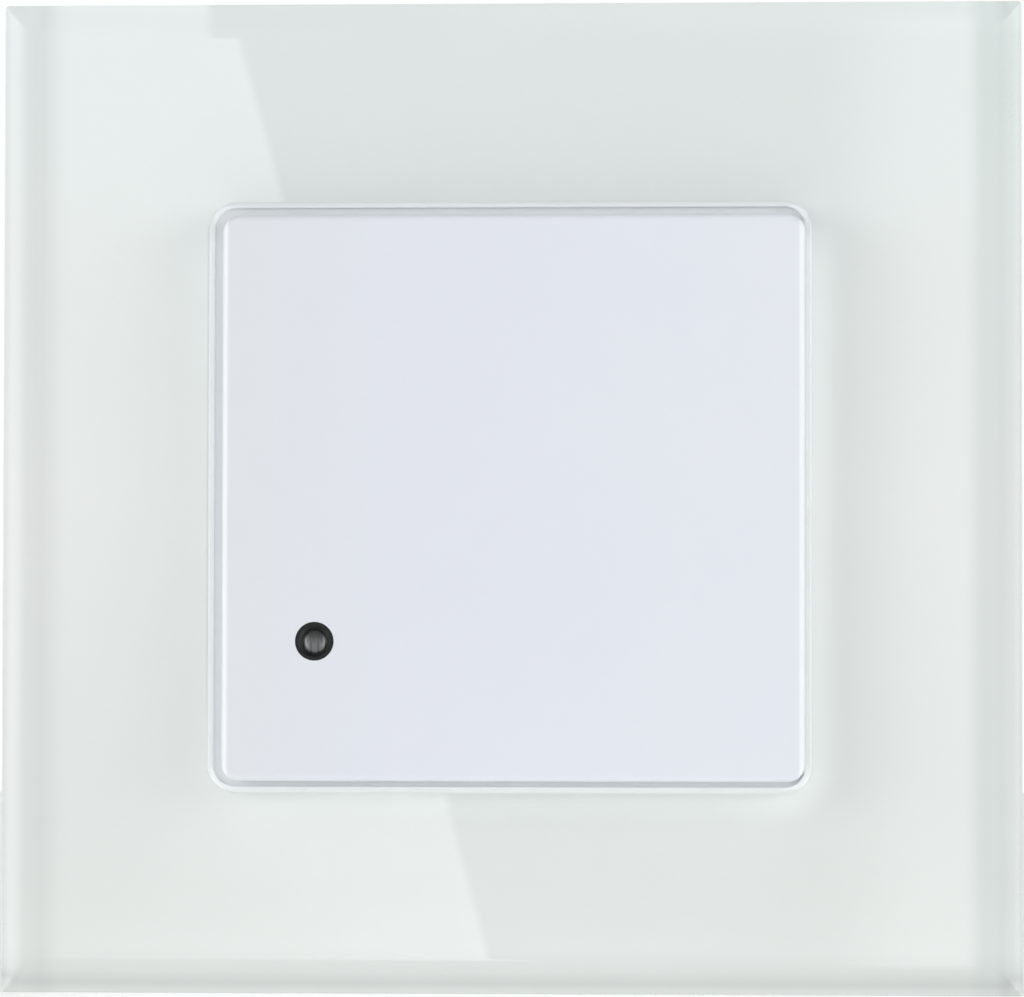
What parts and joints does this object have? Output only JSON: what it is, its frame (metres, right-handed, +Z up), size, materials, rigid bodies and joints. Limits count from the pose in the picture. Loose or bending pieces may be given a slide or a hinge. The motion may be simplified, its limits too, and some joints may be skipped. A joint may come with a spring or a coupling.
{
  "type": "microwave motion sensor",
  "caption": "Flush-mounted microwave motion sensor: glass cover frame, plain centre plate with a light sensor eye, steel ring, claws and a round housing that switches the load.",
  "frame": {"origin": "centre of the support ring's back, in the plane of the wall face", "axes": "+X to the right seen from the room, +Y into the wall, +Z up; the front faces -Y"},
  "size_m": [0.0962, 0.0405, 0.0936],
  "materials": {
    "glass": "polished float glass, slightly green",
    "lacquer": "white coat",
    "tape": "foam tape",
    "frame_plastic": "satin white",
    "plate_plastic": "satin white",
    "black_plastic": "black",
    "smoked_lens": "smoked, glossy",
    "cell": "photocell",
    "zinc_steel": "zinc plated",
    "housing_plastic": "light grey",
    "board": "green solder mask",
    "copper": "copper",
    "tin": "tin plated",
    "chip_black": "moulded black",
    "chip_body": "chip parts",
    "trimmer_base": "dark blue",
    "trimmer_rotor": "ochre",
    "gold": "gilded",
    "relay_plastic": "black",
    "brass": "plain",
    "capacitor_can": "sleeved",
    "film_yellow": "yellow",
    "varistor_blue": "blue coat",
    "ferrite": "ferrite",
    "terminal_plastic": "dark grey"
  },
  "bodies": {
    "insert": {"antenna_patches": "copper", "bridge_rectifier": "chip_black", "chip_components": "chip_body", "contact_bars": "brass", "film_capacitor": "film_yellow", "fuse": "tin", "header_pins": "gold", "header_socket": "black_plastic", "housing_front": "housing_plastic", "housing_rear": "housing_plastic", "housing_screws": "zinc_steel", "inductor": "ferrite", "light_sensor": "cell", "microcontroller": "chip_black", "power_board": "board", "radar_board": "board", "radar_transistor": "chip_black", "regulator": "chip_black", "relay_case": "relay_plastic", "relay_coil": "copper", "relay_contact": "brass", "relay_yoke": "zinc_steel", "shield_can": "tin", "smoothing_capacitor": "capacitor_can", "support_ring": "zinc_steel", "terminal_block_left": "terminal_plastic", "terminal_block_right": "terminal_plastic", "trimmer_bases": "trimmer_base", "varistor": "varistor_blue"},
    "frame": {"glass_panel": "glass", "lacquer_film": "lacquer", "bonding_tape": "tape", "frame_carrier": "frame_plastic"},
    "plate": {"centre_plate": "plate_plastic", "sensor_bezel": "black_plastic", "sensor_lens": "smoked_lens"},
    "range_rotor": {"trimmer_rotor_range": "trimmer_rotor"},
    "light_rotor": {"trimmer_rotor_light": "trimmer_rotor"},
    "time_rotor": {"trimmer_rotor_time": "trimmer_rotor"},
    "claw_screw_top": {"claw_screw_top": "zinc_steel"},
    "claw_nut_top": {"claw_nut_top": "zinc_steel"},
    "claw_top": {"claw_top": "zinc_steel"},
    "claw_screw_bottom": {"claw_screw_bottom": "zinc_steel"},
    "claw_nut_bottom": {"claw_nut_bottom": "zinc_steel"},
    "claw_bottom": {"claw_bottom": "zinc_steel"},
    "terminal_screw_1": {"terminal_screw_1": "zinc_steel"},
    "terminal_cage_1": {"terminal_cage_1": "zinc_steel"},
    "terminal_screw_2": {"terminal_screw_2": "zinc_steel"},
    "terminal_cage_2": {"terminal_cage_2": "zinc_steel"},
    "terminal_screw_3": {"terminal_screw_3": "zinc_steel"},
    "terminal_cage_3": {"terminal_cage_3": "zinc_steel"},
    "terminal_screw_4": {"terminal_screw_4": "zinc_steel"},
    "terminal_cage_4": {"terminal_cage_4": "zinc_steel"},
    "armature": {"relay_armature": "zinc_steel"}
  },
  "joints": [
    {"name": "frame_lift_off", "type": "slide", "parent": "insert", "child": "frame", "axis": [0, -1, 0], "range_m": [0, 0.03]},
    {"name": "plate_pull_off", "type": "slide", "parent": "frame", "child": "plate", "axis": [0, -1, 0], "range_m": [0, 0.03]},
    {"name": "range_turn", "type": "hinge", "parent": "insert", "child": "range_rotor", "pos_m": [0.0145, -0.006, -0.011], "axis": [0, 1, 0], "range_deg": [-135, 135]},
    {"name": "light_turn", "type": "hinge", "parent": "insert", "child": "light_rotor", "pos_m": [0.0145, -0.006, 0], "axis": [0, 1, 0], "range_deg": [-135, 135]},
    {"name": "time_turn", "type": "hinge", "parent": "insert", "child": "time_rotor", "pos_m": [0.0145, -0.006, 0.011], "axis": [0, 1, 0], "range_deg": [-135, 135]},
    {"name": "claw_screw_top_turn", "type": "hinge", "parent": "insert", "child": "claw_screw_top", "pos_m": [0, 0, 0.0234], "axis": [0, 1, 0], "range_deg": [0, 3600]},
    {"name": "claw_nut_top_travel", "type": "slide", "parent": "insert", "child": "claw_nut_top", "axis": [0, -1, 0], "range_m": [0, 0.006]},
    {"name": "claw_top_swing", "type": "hinge", "parent": "claw_nut_top", "child": "claw_top", "pos_m": [0, 0.021, 0.0234], "axis": [-1, 0, 0], "range_deg": [0, 25]},
    {"name": "claw_screw_bottom_turn", "type": "hinge", "parent": "insert", "child": "claw_screw_bottom", "pos_m": [0, 0, -0.0234], "axis": [0, 1, 0], "range_deg": [0, 3600]},
    {"name": "claw_nut_bottom_travel", "type": "slide", "parent": "insert", "child": "claw_nut_bottom", "axis": [0, -1, 0], "range_m": [0, 0.006]},
    {"name": "claw_bottom_swing", "type": "hinge", "parent": "claw_nut_bottom", "child": "claw_bottom", "pos_m": [0, 0.021, -0.0234], "axis": [1, 0, 0], "range_deg": [0, 25]},
    {"name": "terminal_screw_1_turn", "type": "hinge", "parent": "insert", "child": "terminal_screw_1", "pos_m": [-0.0137, 0.0224, -0.015], "axis": [0, 0, 1], "range_deg": [0, 1800]},
    {"name": "terminal_cage_1_travel", "type": "slide", "parent": "insert", "child": "terminal_cage_1", "axis": [0, 0, -1], "range_m": [0, 0.0025]},
    {"name": "terminal_screw_2_turn", "type": "hinge", "parent": "insert", "child": "terminal_screw_2", "pos_m": [-0.0073, 0.0224, -0.015], "axis": [0, 0, 1], "range_deg": [0, 1800]},
    {"name": "terminal_cage_2_travel", "type": "slide", "parent": "insert", "child": "terminal_cage_2", "axis": [0, 0, -1], "range_m": [0, 0.0025]},
    {"name": "terminal_screw_3_turn", "type": "hinge", "parent": "insert", "child": "terminal_screw_3", "pos_m": [0.0073, 0.0224, -0.015], "axis": [0, 0, 1], "range_deg": [0, 1800]},
    {"name": "terminal_cage_3_travel", "type": "slide", "parent": "insert", "child": "terminal_cage_3", "axis": [0, 0, -1], "range_m": [0, 0.0025]},
    {"name": "terminal_screw_4_turn", "type": "hinge", "parent": "insert", "child": "terminal_screw_4", "pos_m": [0.0137, 0.0224, -0.015], "axis": [0, 0, 1], "range_deg": [0, 1800]},
    {"name": "terminal_cage_4_travel", "type": "slide", "parent": "insert", "child": "terminal_cage_4", "axis": [0, 0, -1], "range_m": [0, 0.0025]},
    {"name": "armature_pull", "type": "hinge", "parent": "insert", "child": "armature", "pos_m": [-0.01355, 0.01555, 0.0095], "axis": [0, 0, -1], "range_deg": [0, 5], "stiffness_Nm_per_rad": 0.005, "springref_deg": -2.86}
  ],
  "couplings": [
    {"joint": "claw_screw_top_turn", "follows": "claw_nut_top_travel", "rad_per_m": 10472},
    {"joint": "claw_top_swing", "follows": "claw_nut_top_travel", "rad_per_m": 72.722},
    {"joint": "claw_screw_bottom_turn", "follows": "claw_nut_bottom_travel", "rad_per_m": 10472},
    {"joint": "claw_bottom_swing", "follows": "claw_nut_bottom_travel", "rad_per_m": 72.722},
    {"joint": "terminal_screw_1_turn", "follows": "terminal_cage_1_travel", "rad_per_m": 12566},
    {"joint": "terminal_screw_2_turn", "follows": "terminal_cage_2_travel", "rad_per_m": 12566},
    {"joint": "terminal_screw_3_turn", "follows": "terminal_cage_3_travel", "rad_per_m": 12566},
    {"joint": "terminal_screw_4_turn", "follows": "terminal_cage_4_travel", "rad_per_m": 12566}
  ]
}
